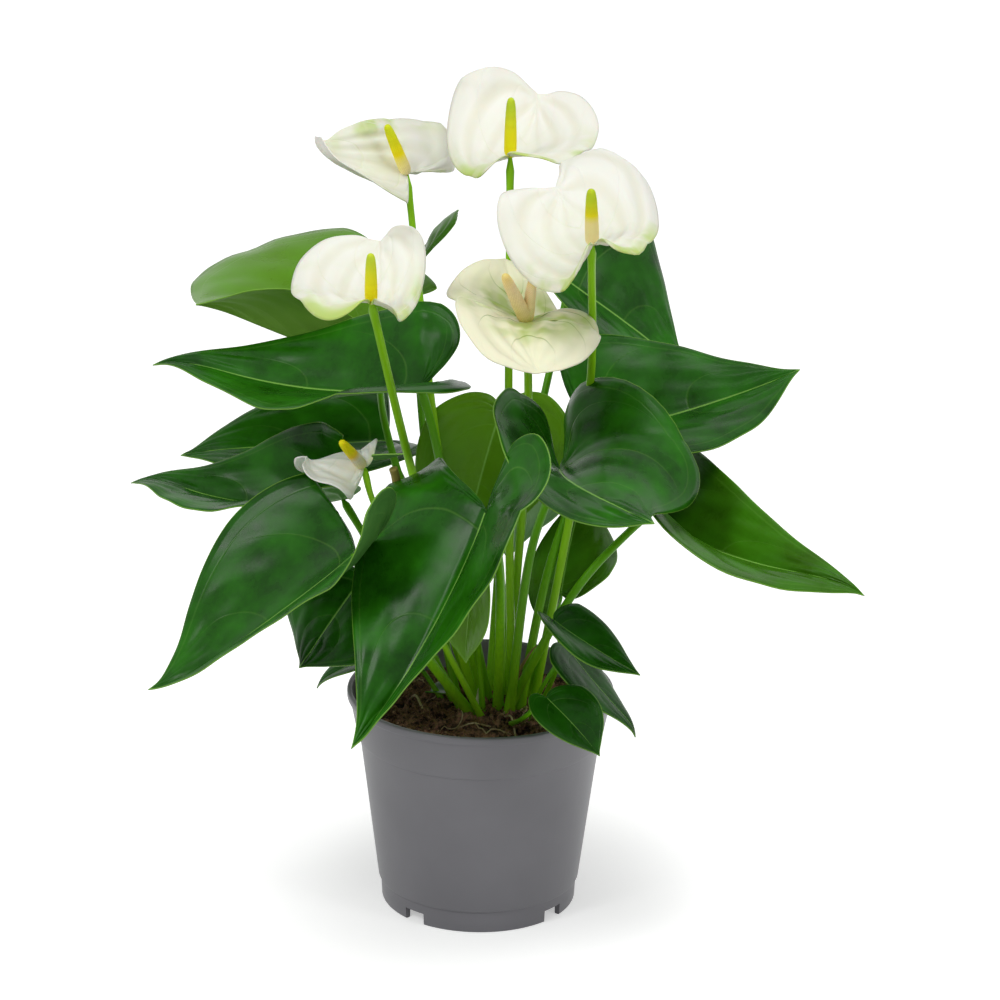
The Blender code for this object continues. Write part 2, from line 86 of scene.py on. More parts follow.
# Leaves. base, tip: ends of the midrib. left, right: half width, rise of that half at the base and
# at the tip, sweep towards the tip, size of the lobe, curl across the half, lift of the lobe.
# bends: arch, hook of the tip, sideways bend, nod of the lobes. root, via, stem: where the petiole
# leaves the soil, a point on its way, its radii. belly: how far the halves bulge, if not as usual.
LEAVES = {
    "01": dict(base=(-49, 60, 231), tip=(-130, 50, 263),
               left=(41, 50, 38, 42, 1, 0, 0), right=(80, 60, -17, 23, .4, 0, 0),
               bends=(-14, 21, 40, 0), root=(-4, 12), via=(-40, 18, 203), stem=(1.9, 1.6)),
    "02": dict(base=(-28, -1, 242), tip=(-148, 32, 240),
               left=(60, 11, -13, -9, 1.3, 12, -9), right=(39, 53, 26, -9, .32, 12, -56),
               bends=(-43, 43, 33, -5), root=(3, 9), via=(-20, -2, 212), stem=(2.2, 1.8)),
    "03": dict(base=(-46, 74, 192), tip=(-140, 73, 184),
               left=(46, 2, -12, 10, .8, 0, 0), right=(43, 25, 30, 1, .1, 0, 0),
               bends=(4, 9, 0, 0), root=(-11, 12), via=(-28, 42, 160), stem=(1.9, 1.5)),
    "04": dict(base=(-62, 3, 188), tip=(-158, 24, 187),
               left=(43, 30, -1, 21, .6, -5, 0), right=(37, 76, -2, -14, .02, 33, 51),
               bends=(-39, 58, -14, -8), root=(-9, -2), via=(-47, -8, 166), stem=(1.9, 1.6)),
    "05": dict(base=(-54, -80, 192), tip=(-141, -83, 131),
               left=(51, -6, 15, -40, 1.02, 33, 7), right=(64, -11, 27, 6, -0.06, 75, 0),
               bends=(-9, -27, 13, 43), root=(-5, -9), via=(-32, -39, 142), stem=(2.4, 1.9)),
    "06": dict(base=(2, -96, 218), tip=(-52, -144, 131),
               left=(49, 40, 38, -4, 1.09, -20, -30), right=(61, 25, 53, -15, .19, -46, -38),
               bends=(-14, -7, -10, 54), belly=0, root=(8, -3), via=(8, -42, 170), stem=(2.3, 1.9)),
    "07": dict(base=(-53, 3, 152), tip=(-80, -26, 119),
               left=(39, -3, -5, 22, .25, 0, 0), right=(37, 11, -17, 5, .25, 0, 0),
               bends=(10, 0, -4, 0), root=(-12, 4), via=(-30, 3, 132), stem=(1.7, 1.4)),
    "08": dict(base=(-37, 15, 112), tip=(-74, 7, 96),
               left=(15, 10, 5, 0, 1, 0, 0), right=(18, 10, 3, 0, 1, 0, 0),
               bends=(26, 31, 0, 0), root=(-18, 9), via=(-27, 12, 104), stem=(1.1, .9)),
    "09": dict(base=(7, 38, 218), tip=(-12, 28, 146),
               left=(35, -58, -58, 0, .7, 0, 0), right=(32, 72, 66, 18, .5, 0, 0),
               bends=(10, -18, 0, 0), root=(4, 18), via=(8, 43, 165), stem=(1.9, 1.5)),
    "10": dict(base=(33, -41, 218), tip=(71, -114, 220),
               left=(62, 38, -15, 10, 1.49, -64, 47), right=(47, 45, -45, 13, .62, 58, 22),
               bends=(22, 3, 58, -22), root=(13, -7), via=(21, -17, 169), stem=(2.2, 1.8)),
    "11": dict(base=(51, 26, 213), tip=(141, 39, 240),
               left=(48, 49, 38, -12, .2, 0, 0), right=(45, 5, -20, 19, .3, 0, 0),
               bends=(-9, 0, 10, 0), root=(18, 0), via=(30, 5, 157), stem=(2.1, 1.8)),
    "12": dict(base=(38, 84, 266), tip=(95, 94, 224),
               left=(53, 60, 38, 0, .8, 0, 0), right=(31, -14, -21, 0, .8, 0, 0),
               bends=(5, -20, 0, 0), root=(12, 19), via=(20, 40, 185), stem=(2, 1.6)),
    "13": dict(base=(75, 12, 182), tip=(162, -80, 177),
               left=(34, 50, 42, -7, 1, 10, 0), right=(47, 60, -20, 26, .3, 12, -20),
               bends=(-10, 35, 50, 0), root=(13, -1), via=(42, -10, 152), stem=(2.1, 1.7)),
    "14": dict(base=(36, 23, 138), tip=(47, 77, 173),
               left=(16, 10, 5, 0, 1, 0, 0), right=(26, 27, -13, 0, .45, 0, 0),
               bends=(-11, -20, -9, 0), root=(21, 12), via=(29, 8, 119), stem=(1.6, 1.2)),
    "15": dict(base=(32, -42, 149), tip=(69, -64, 133),
               left=(18, 12, 9, 3, .3, 0, 0), right=(19, 23, -18, 11, .6, 0, 0),
               bends=(-8, 5, 0, 0), root=(26, -4), via=(35, -20, 123), stem=(1.1, .9)),
    "16": dict(base=(38, -33, 133), tip=(68, -52, 99),
               left=(14, -8, -14, -3, .1, 0, 0), right=(19, 6, 2, 7, .4, 0, 0),
               bends=(-10, 50, 0, 3), root=(21, -14), via=(28, -27, 113), stem=(1.1, .9)),
    "17": dict(base=(29, -62, 121), tip=(52, -78, 101),
               left=(16, 30, 40, 23, .4, 0, 0), right=(13, -11, -17, 14, .7, 0, 0),
               bends=(12, 0, 0, 0), root=(14, -20), via=(19, -46, 105), stem=(1.1, .9)),
    "18": dict(base=(-3, -47, 172), tip=(-6, -50, 132),
               left=(19, 24, 3, 9, 1, 0, 0), right=(22, 11, 17, 8, 1, 0, 0),
               bends=(10, 14, 0, 0), root=(1, -6), via=(-1, -9, 125), stem=(1.2, 1)),
    "19": dict(base=(-34, 101, 266), tip=(-63, 115, 243),
               left=(28, -26, 5, -28, .2, 0, 0), right=(26, 14, -17, -45, 1.6, 0, 0),
               bends=(-21, -7, -6, -3), root=(-4, 19), via=(-26, 67, 182), stem=(1.9, 1.5)),
    "20": dict(base=(14, 68, 177), tip=(12, 134, 112),
               left=(34, 8, 5, 0, 1, 0, 0), right=(34, 8, 5, 0, 1, 0, 0),
               bends=(15, 15, 0, 0), root=(9, 25), via=(12, 42, 135), stem=(1.6, 1.3)),
}

# Flowers. The spathe takes the leaf's terms, and root, via and stem belong to the peduncle.
# spadices: tip of each finger and its radius; every finger stands on the spathe's base.
FLOWERS = {
    "1": dict(base=(10, 18, 341), tip=(22, 79, 355),
              left=(38, -27, 14, 43, .75, 12, -57), right=(33, 1, 20, 15, .79, 5, -19),
              bends=(-54, -16, 15, 63), root=(14, 5), via=(11, 4, 218), stem=(2, 1.6),
              spadices=(((10, 14, 368), 2.7),)),
    "2": dict(base=(-36, 65, 321), tip=(-76, 51, 341),
              left=(30, -50, -7, 21, .08, 55, 0), right=(32, 24, 76, -38, 1.19, 31, 20),
              bends=(-24, -71, -24, -25), root=(-1, 15), via=(-21, 26, 208), stem=(1.9, 1.5),
              spadices=(((-45, 58, 345), 2.7),)),
    "3": dict(base=(-46, -91, 306), tip=(-44, -43, 319),
              left=(34, 3, 14, 20, .88, -7, -33), right=(20, -24, 9, 55, 1.21, -3, 6),
              bends=(-53, -31, -8, 22), root=(-2, 0), via=(-31, -38, 218), stem=(2.1, 1.7),
              spadices=(((-46, -96, 328), 2.6),)),
    "4": dict(base=(44, -70, 326), tip=(29, -23, 338),
              left=(32, -63, -17, 34, 1.06, 23, 2), right=(45, 3, 11, 52, 1.48, -16, -57),
              bends=(-49, 16, 25, 105), root=(24, 5), via=(45, -2, 229), stem=(2, 1.6),
              spadices=(((43, -76, 351), 2.9),)),
    "5": dict(base=(18, -45, 285), tip=(23, -92, 277),
              left=(32, 5, 12, 0, .82, -35, 26), right=(32, 4, -1, 9, .73, 36, 23),
              bends=(51, -36, 25, -20), root=(12, 12), via=(19, 3, 215), stem=(2, 1.7),
              spadices=(((8, -60, 310), 3), ((20, -50, 306), 2.6))),
    "6": dict(base=(-51, -48, 221), tip=(-75, -51, 226),
              left=(28, -60, -29, 7, .21, 71, -3), right=(29, 0, -38, 0, .48, -8, 43),
              bends=(50, -90, 11, 55), root=(0, -12), via=(-42, -42, 191), stem=(1.5, 1.3),
              spadices=(((-60, -60, 236), 2.5),)),
}

# The fifth flower is a double one: this second spathe stands up behind its two fingers.
BACK_SPATHE = dict(base=(17, -37, 281), tip=(8, 4, 299),
                   left=(34, 34, 12, -6, .39, -25, -3), right=(18, -1, -11, -4, .99, -9, 19),
                   bends=(-36, 19, 6, 46))

# ---------------------------------------------------------------- small tools


def colour(code):
    """An sRGB hex value as linear red, green, blue and alpha."""
    parts = np.array([int(code[k:k + 2], 16) for k in (1, 3, 5)]) / 255
    linear = np.where(parts <= 0.04045, parts / 12.92, ((parts + 0.055) / 1.055) ** 2.4)
    return (*linear.tolist(), 1.0)


def node(tree, kind, inputs=None, stops=None, **settings):
    """Add a node. inputs maps sockets to a value or to the socket that feeds them; stops are a ramp's."""
    made = tree.nodes.new(kind)
    for name, value in settings.items():
        setattr(made, name, value)
    for name, value in (inputs or {}).items():
        if isinstance(value, bpy.types.NodeSocket):
            tree.links.new(value, made.inputs[name])
        else:
            made.inputs[name].default_value = value
    if stops:
        ramp = made.color_ramp
        while len(ramp.elements) < len(stops):
            ramp.elements.new(0.5)
        for element, (place, code) in zip(ramp.elements, stops):
            element.position = place
            element.color = colour(code)
    return made


def shader(name, **values):
    """A material's node tree and its Principled shader, with the uniform values set on its sockets."""
    made = bpy.data.materials.new(name)
    made.use_nodes = True
    principled = made.node_tree.nodes["Principled BSDF"]
    for key, value in values.items():
        principled.inputs[key.replace("_", " ")].default_value = value
    return made, made.node_tree, principled


def smooth_curve(points, count):
    """Points along a Catmull-Rom curve through the given points."""
    given = np.array(points, float)
    knots = np.vstack([2 * given[0] - given[1], given, 2 * given[-1] - given[-2]])
    spans = len(given) - 1
    along = np.linspace(0, spans, count)
    span = np.minimum(along.astype(int), spans - 1)
    f = (along - span)[:, None]
    a, b, c, d = (knots[span + k] for k in range(4))
    return 0.5 * (2 * b + (c - a) * f + (2 * a - 5 * b + 4 * c - d) * f**2
                  + (3 * b - a - 3 * c + d) * f**3)


def smooth_step(value, low, high):
    """0 below low, 1 above high, and 3 t^2 - 2 t^3 between."""
    t = np.clip((value - low) / (high - low), 0, 1)
    return t * t * (3 - 2 * t)


def ripples(places, size, seed, waves=9):
    """Smooth noise from about -1 to 1: the sum of sine waves of random directions, about one size long."""
    chance = np.random.default_rng(seed)
    directions = chance.normal(size=(waves, places.shape[-1]))
    directions *= (2 * np.pi / size / np.linalg.norm(directions, axis=1)
                   * chance.uniform(0.7, 1.4, waves))[:, None]
    return np.sin(places @ directions.T + chance.uniform(0, 2 * np.pi, waves)).sum(-1) / math.sqrt(waves)


def unit(vectors):
    """Vectors of length one; a vector of no length stays as it is."""
    return vectors / np.maximum(np.linalg.norm(vectors, axis=-1, keepdims=True), 1e-9)


def grid_faces(rows, columns, closed=False):
    """Quads of a grid of rows by columns; a closed one also joins its last column to its first."""
    r, c = np.mgrid[0:rows - 1, 0:columns if closed else columns - 1]
    n = (c + 1) % columns
    return np.stack([r * columns + c, r * columns + n, (r + 1) * columns + n, (r + 1) * columns + c],
                    -1).reshape(-1, 4)


def add_piece(name, places, faces, looks, stands_for=None, uv=None, attributes=None):
    """A mesh piece in millimetres that rides on the plant; doubled points are merged."""
    mesh = bpy.data.meshes.new(name)
    mesh.from_pydata((places.reshape(-1, 3) * MM).tolist(), [], faces.tolist())
    if uv is not None:
        corners = np.empty(len(mesh.loops), int)
        mesh.loops.foreach_get("vertex_index", corners)
        mesh.uv_layers.new(name="surface").uv.foreach_set("vector", uv.reshape(-1, 2)[corners].ravel())
    for label, values in (attributes or {}).items():
        mesh.attributes.new(label, "FLOAT", "POINT").data.foreach_set("value", values.ravel())
    work = bmesh.new()
    work.from_mesh(mesh)
    bmesh.ops.remove_doubles(work, verts=work.verts, dist=0.01 * MM)
    work.to_mesh(mesh)
    work.free()
    mesh.shade_smooth()
    for look in looks:
        mesh.materials.append(look)
    piece = bpy.data.objects.new(name, mesh)
    bpy.context.scene.collection.objects.link(piece)
    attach(piece, "root")
    if stands_for:
        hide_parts(stands_for)
    return piece


# ---------------------------------------------------------------- materials


def pot_plastic():
    """Injection-moulded polypropylene with a fine matt spark finish.

    A mid grey with a soft broad sheen, the faintest cloudiness and a sub-millimetre grain.
    """
    made, tree, principled = shader("moulded_grey_polypropylene", Roughness=0.42, IOR=1.49)
    place = node(tree, "ShaderNodeTexCoord").outputs["Object"]
    cloud = node(tree, "ShaderNodeTexNoise", {"Vector": place, "Scale": 25.0, "Detail": 3.0})
    tone = node(tree, "ShaderNodeValToRGB", {"Fac": cloud.outputs["Fac"]},
                stops=((0.3, "#706f74"), (0.7, "#77767b")))
    grain = node(tree, "ShaderNodeTexNoise", {"Vector": place, "Scale": 1800.0, "Detail": 2.0})
    bump = node(tree, "ShaderNodeBump",
                {"Height": grain.outputs["Fac"], "Strength": 0.12, "Distance": 0.0002})
    tree.links.new(tone.outputs["Color"], principled.inputs["Base Color"])
    tree.links.new(bump.outputs["Normal"], principled.inputs["Normal"])
    return made


def peat(name, dark, light):
    """Moist peat and coir: warm brown on the crumbs and nearly black between them, which is partly the
    peat's own darker tone and partly painted shade; no gloss at all.

    Clods are about 6 mm and break up again and again, down to specks of 0.1 mm.
    """
    made, tree, principled = shader(name, Roughness=0.95)
    principled.inputs["Specular IOR Level"].default_value = 0.2
    place = node(tree, "ShaderNodeTexCoord").outputs["Object"]
    crumbs = node(tree, "ShaderNodeTexNoise", {"Vector": place, "Scale": 170.0, "Detail": 8.0,
                                               "Roughness": 0.78})
    # The same noise sets the bump and the colour, so the low places between the crumbs are darkest: painted
    # shade on top of the peat's own mottle.
    tone = node(tree, "ShaderNodeValToRGB", {"Fac": crumbs.outputs["Fac"]},
                stops=((0.43, dark), (0.60, light)))
    bump = node(tree, "ShaderNodeBump",
                {"Height": crumbs.outputs["Fac"], "Strength": 1.0, "Distance": 0.0015})
    tree.links.new(tone.outputs["Color"], principled.inputs["Base Color"])
    tree.links.new(bump.outputs["Normal"], principled.inputs["Normal"])
    return made


def leaf_skin(name, deep, bright, fresh, vein, edge, roughness, groove):
    """A waxy leaf skin: deep green cells, paler where veins run, a thin pale margin, a soft wet gloss.

    The vein map's first coordinate counts side veins and its second runs from midrib to margin, and
    gap, rib and edge turn both into mm. Veins that spring from the base are clear, the later ones
    from the midrib fainter, and one follows the margin. The lighter green that some leaves get is
    partly a young leaf's own colour and partly painted light on leaves that catch more light.
    groove is positive where veins are sunk, as above, and negative where they stand out, as below.
    """
    made, tree, principled = shader(name, IOR=1.45)
    principled.inputs["Specular IOR Level"].default_value = 0.16
    place = node(tree, "ShaderNodeTexCoord").outputs["Object"]
    read = {label: node(tree, "ShaderNodeAttribute", attribute_name=label).outputs["Fac"]
            for label in ("gap", "rib", "edge", "young")}
    veins = node(tree, "ShaderNodeSeparateXYZ",
                 {0: node(tree, "ShaderNodeUVMap", uv_map="surface").outputs["UV"]}).outputs
    count, across = veins["X"], veins["Y"]
    off = node(tree, "ShaderNodeMath", {0: count, 1: 1.0}, operation="PINGPONG").outputs[0]
    off = node(tree, "ShaderNodeMath", {0: off, 1: read["gap"]}, operation="MULTIPLY").outputs[0]
    side = node(tree, "ShaderNodeMapRange", {0: off, 1: 0.1, 2: 0.8, 3: 1.0, 4: 0.0}).outputs[0]
    clear = node(tree, "ShaderNodeMapRange", {0: count, 1: 3.4, 2: 4.4, 3: 1.0, 4: 0.35}).outputs[0]
    fade = node(tree, "ShaderNodeMapRange", {0: across, 1: 0.45, 2: 0.9, 3: 1.0, 4: 0.0}).outputs[0]
    lines = node(tree, "ShaderNodeMath", {0: side, 1: fade}, operation="MULTIPLY").outputs[0]
    lines = node(tree, "ShaderNodeMath", {0: lines, 1: clear}, operation="MULTIPLY").outputs[0]
    width = node(tree, "ShaderNodeMath", {0: read["rib"], 1: read["edge"]}, operation="ADD").outputs[0]
    away = node(tree, "ShaderNodeMath", {0: across, 1: 0.88}, operation="SUBTRACT").outputs[0]
    away = node(tree, "ShaderNodeMath", {0: away, 1: width}, operation="MULTIPLY").outputs[0]
    away = node(tree, "ShaderNodeMath", {0: away}, operation="ABSOLUTE").outputs[0]
    outer = node(tree, "ShaderNodeMapRange", {0: away, 1: 0.1, 2: 0.6, 3: 0.3, 4: 0.0}).outputs[0]
    lines = node(tree, "ShaderNodeMath", {0: lines, 1: outer}, operation="MAXIMUM").outputs[0]
    rib = node(tree, "ShaderNodeMapRange", {0: read["rib"], 1: 0.25, 2: 0.75, 3: 0.8, 4: 0.0}).outputs[0]
    margin = node(tree, "ShaderNodeMapRange", {0: read["edge"], 1: 0.1, 2: 0.45, 3: 0.7, 4: 0.0}).outputs[0]

    cloud = node(tree, "ShaderNodeTexNoise", {"Vector": place, "Scale": 45.0, "Detail": 4.0,
                                              "Roughness": 0.6}).outputs["Fac"]
    skin = node(tree, "ShaderNodeValToRGB", {"Fac": cloud},
                stops=((0.3, deep), (0.72, bright))).outputs["Color"]
    tint = node(tree, "ShaderNodeMath", {0: lines, 1: 0.22}, operation="MULTIPLY").outputs[0]
    # The first mix lifts the green towards the lighter green: partly a young leaf's own colour, partly
    # painted light.
    for mask, hue in ((read["young"], fresh), (tint, vein), (rib, vein), (margin, edge)):
        skin = node(tree, "ShaderNodeMix", {0: mask, 6: skin, 7: colour(hue)}, data_type="RGBA").outputs[2]
    tree.links.new(skin, principled.inputs["Base Color"])

    gloss = node(tree, "ShaderNodeMapRange", {0: cloud, 1: 0.3, 2: 0.7, 3: roughness - 0.08,
                                              4: roughness + 0.08}).outputs[0]
    tree.links.new(gloss, principled.inputs["Roughness"])
    cells = node(tree, "ShaderNodeTexVoronoi", {"Vector": place, "Scale": 480.0},
                 feature="F1").outputs["Distance"]
    height = node(tree, "ShaderNodeMath", {0: lines, 1: rib}, operation="MAXIMUM").outputs[0]
    height = node(tree, "ShaderNodeMath", {0: height, 1: -groove}, operation="MULTIPLY").outputs[0]
    height = node(tree, "ShaderNodeMath", {0: cells, 1: 0.1, 2: height}, operation="MULTIPLY_ADD").outputs[0]
    bump = node(tree, "ShaderNodeBump", {"Height": height, "Strength": 0.3, "Distance": 0.0005})
    tree.links.new(bump.outputs["Normal"], principled.inputs["Normal"])
    return made


def stem_skin(name, low, high):
    """Smooth waxy stem: juicy yellow-green at the soil, fuller green above, faint lengthwise streaks."""
    made, tree, principled = shader(name, Roughness=0.38, IOR=1.45)
    principled.inputs["Specular IOR Level"].default_value = 0.2
    place = node(tree, "ShaderNodeTexCoord").outputs["Object"]
    stretched = node(tree, "ShaderNodeMapping",
                     {"Vector": place, "Scale": (900.0, 900.0, 40.0)}).outputs[0]
    streak = node(tree, "ShaderNodeTexNoise",
                  {"Vector": stretched, "Scale": 1.0, "Detail": 3.0}).outputs["Fac"]
    along = node(tree, "ShaderNodeAttribute", attribute_name="along").outputs["Fac"]
    mixed = node(tree, "ShaderNodeMath", {0: streak, 1: 0.5, 2: along}, operation="MULTIPLY_ADD").outputs[0]
    tone = node(tree, "ShaderNodeValToRGB", {"Fac": mixed}, stops=((0.15, low), (0.8, high)))
    bump = node(tree, "ShaderNodeBump", {"Height": streak, "Strength": 0.2, "Distance": 0.0003})
    tree.links.new(tone.outputs["Color"], principled.inputs["Base Color"])
    tree.links.new(bump.outputs["Normal"], principled.inputs["Normal"])
    return made


def spathe_skin(name, body, heart, vein, heart_size, inside):
    """A waxy ivory spathe: nearly white, with painted shade of a greyer cream in its furrows, green round
    the foot of its lobes.

    The heart tint reaches heart_size mm from the base. It follows the margin, keeps the share
    inside of it that inside gives, and breaks up in soft patches of about 15 mm. Thin side veins
    show as far as the tint does.
    """
    made, tree, principled = shader(name, Roughness=0.42, IOR=1.42, Subsurface_Weight=0.12,
                                    Subsurface_Scale=0.002)
    principled.inputs["Specular IOR Level"].default_value = 0.25
    place = node(tree, "ShaderNodeTexCoord").outputs["Object"]
    read = {label: node(tree, "ShaderNodeAttribute", attribute_name=label).outputs["Fac"]
            for label in ("gap", "edge", "reach", "crest")}
    veins = node(tree, "ShaderNodeSeparateXYZ",
                 {0: node(tree, "ShaderNodeUVMap", uv_map="surface").outputs["UV"]}).outputs
    off = node(tree, "ShaderNodeMath", {0: veins["X"], 1: 1.0}, operation="PINGPONG").outputs[0]
    off = node(tree, "ShaderNodeMath", {0: off, 1: read["gap"]}, operation="MULTIPLY").outputs[0]
    side = node(tree, "ShaderNodeMapRange", {0: off, 1: 0.2, 2: 0.8, 3: 1.0, 4: 0.0}).outputs[0]
    near = node(tree, "ShaderNodeMapRange",
                {0: read["reach"], 1: 0.4 * heart_size, 2: heart_size, 3: 1.0, 4: 0.0},
                interpolation_type="SMOOTHSTEP").outputs[0]
    rim = node(tree, "ShaderNodeMapRange", {0: read["edge"], 1: 0.0, 2: 12.0, 3: 1.0, 4: inside},
               interpolation_type="SMOOTHSTEP").outputs[0]
    lines = node(tree, "ShaderNodeMath", {0: side, 1: near}, operation="MULTIPLY").outputs[0]
    cloud = node(tree, "ShaderNodeTexNoise", {"Vector": place, "Scale": 70.0, "Detail": 2.0}).outputs["Fac"]
    patch = node(tree, "ShaderNodeMapRange", {0: cloud, 1: 0.38, 2: 0.56, 3: 0.15, 4: 1.0}).outputs[0]
    patch = node(tree, "ShaderNodeMath", {0: patch, 1: near}, operation="MULTIPLY").outputs[0]
    patch = node(tree, "ShaderNodeMath", {0: patch, 1: rim}, operation="MULTIPLY").outputs[0]
    # Painted shade: the furrows between the ridges are mixed towards a greyer cream, darker than the body
    # under any lamp.
    furrow = node(tree, "ShaderNodeMapRange",
                  {0: read["crest"], 1: -0.8, 2: 0.2, 3: 0.35, 4: 0.0}).outputs[0]
    skin = colour(body)
    for mask, hue in ((patch, heart), (lines, vein), (furrow, "#d8d5b4")):
        skin = node(tree, "ShaderNodeMix", {0: mask, 6: skin, 7: colour(hue)}, data_type="RGBA").outputs[2]
    tree.links.new(skin, principled.inputs["Base Color"])
    height = node(tree, "ShaderNodeMath", {0: side, 1: -0.6, 2: cloud}, operation="MULTIPLY_ADD").outputs[0]
    bump = node(tree, "ShaderNodeBump", {"Height": height, "Strength": 0.35, "Distance": 0.0005})
    tree.links.new(bump.outputs["Normal"], principled.inputs["Normal"])
    return made


def spadix_skin(name, stops):
    """A spadix crusted with tiny flowers: bead by bead, paler crowns and darker seams, dull wax."""
    made, tree, principled = shader(name, Roughness=0.5, IOR=1.42, Subsurface_Weight=0.15,
                                    Subsurface_Scale=0.002)
    principled.inputs["Specular IOR Level"].default_value = 0.2
    along = node(tree, "ShaderNodeAttribute", attribute_name="along").outputs["Fac"]
    bead = node(tree, "ShaderNodeAttribute", attribute_name="bead").outputs["Fac"]
    tone = node(tree, "ShaderNodeValToRGB", {"Fac": along}, stops=stops).outputs["Color"]
    seam = node(tree, "ShaderNodeMapRange", {0: bead, 1: 0.0, 2: 0.6, 3: 0.3, 4: 0.0}).outputs[0]
    dark = node(tree, "ShaderNodeMix", {0: 1.0, 6: tone, 7: colour("#b9a24a")}, data_type="RGBA",
                blend_type="MULTIPLY").outputs[2]
    skin = node(tree, "ShaderNodeMix", {0: seam, 6: tone, 7: dark}, data_type="RGBA").outputs[2]
    tree.links.new(skin, principled.inputs["Base Color"])
    return made


# ---------------------------------------------------------------- blades


def level_frame(direction):
    """Right-handed frame, as columns: the direction, its left, and the upright across both."""
    forward = direction / np.linalg.norm(direction)
    up = np.array([0, 0, 1.0]) - forward * forward[2]
    up /= np.linalg.norm(up)
    return np.stack([forward, np.cross(up, forward), up], 1)


def blade_halves(piece, outline, rows, columns):
    """Middle surface of each half of a blade, as (rows, columns, 3) from midrib to margin.

    The midrib is a curve whose slope turns steadily by the arch, with the hook added near the tip
    and the nod behind the base. Each half runs outwards from it at the half's rise, which turns by
    the curl on the way to the outline; the sweep shears the half towards the tip, and the lift
    raises its lobe.
    """
    base = np.array(piece["base"], float)
    chord = np.subtract(piece["tip"], piece["base"]).astype(float)
    arch, hook, sideways, nod = np.radians(piece["bends"])
    along = np.linspace(-0.7, 1.3, 201)
    slope = -arch * np.clip(along, 0, None) - hook * np.clip((along - 0.7) / 0.3, 0, None) ** 2
    slope = np.where(along < 0, nod * along * 2, slope)
    turn = sideways * along
    tangent = np.stack([np.cos(slope) * np.cos(turn), np.cos(slope) * np.sin(turn), np.sin(slope)], -1)
    steps = (tangent[1:] + tangent[:-1]) / 2 * (along[1] - along[0])
    midrib = np.vstack([np.zeros(3), np.cumsum(steps, 0)])
    midrib -= midrib[np.argmin(abs(along))]
    span = midrib[np.argmin(abs(along - 1))]
    length = np.linalg.norm(chord) / np.linalg.norm(span)
    to_world = level_frame(chord) @ level_frame(span).T * length

    edge = smooth_curve(outline, rows)
    inner = np.clip((np.linspace(0, 1, rows) - SEAM) / (1 - SEAM), 0, 1)[:, None]
    across = np.linspace(0, 1, columns)[None, :]
    halves = []
    for side, terms in ((1, piece["left"]), (-1, piece["right"])):
        width, rise_base, rise_tip, sweep, lobe, curl, lift = terms
        reach = edge[:, :1] * np.where(edge[:, :1] < 0, lobe, 1)
        out = edge[:, 1:] * across * width / length
        at = inner + (reach - inner) * across + math.tan(math.radians(sweep)) * out
        rise = (rise_base + (rise_tip - rise_base) * np.clip(at, LOBE_END, 1)
                + lift * np.clip(-at / LIFT_REACH, 0, 1.5))
        bend = np.radians(curl) * edge[:, 1:] * across / 2
        rise = np.radians(rise) + bend
        out = out * np.sinc(bend / np.pi)
        centre = np.stack([np.interp(at, along, midrib[:, k]) for k in range(3)], -1)
        s, t = np.interp(at, along, slope), np.interp(at, along, turn)
        left = np.stack([-np.sin(t), np.cos(t), 0 * t], -1)
        up = np.cross(np.stack([np.cos(s) * np.cos(t), np.cos(s) * np.sin(t), np.sin(s)], -1), left)
        offset = (out * np.cos(rise) * side)[..., None] * left + (out * np.sin(rise))[..., None] * up
        halves.append((centre + offset) @ to_world.T + base)
    return halves


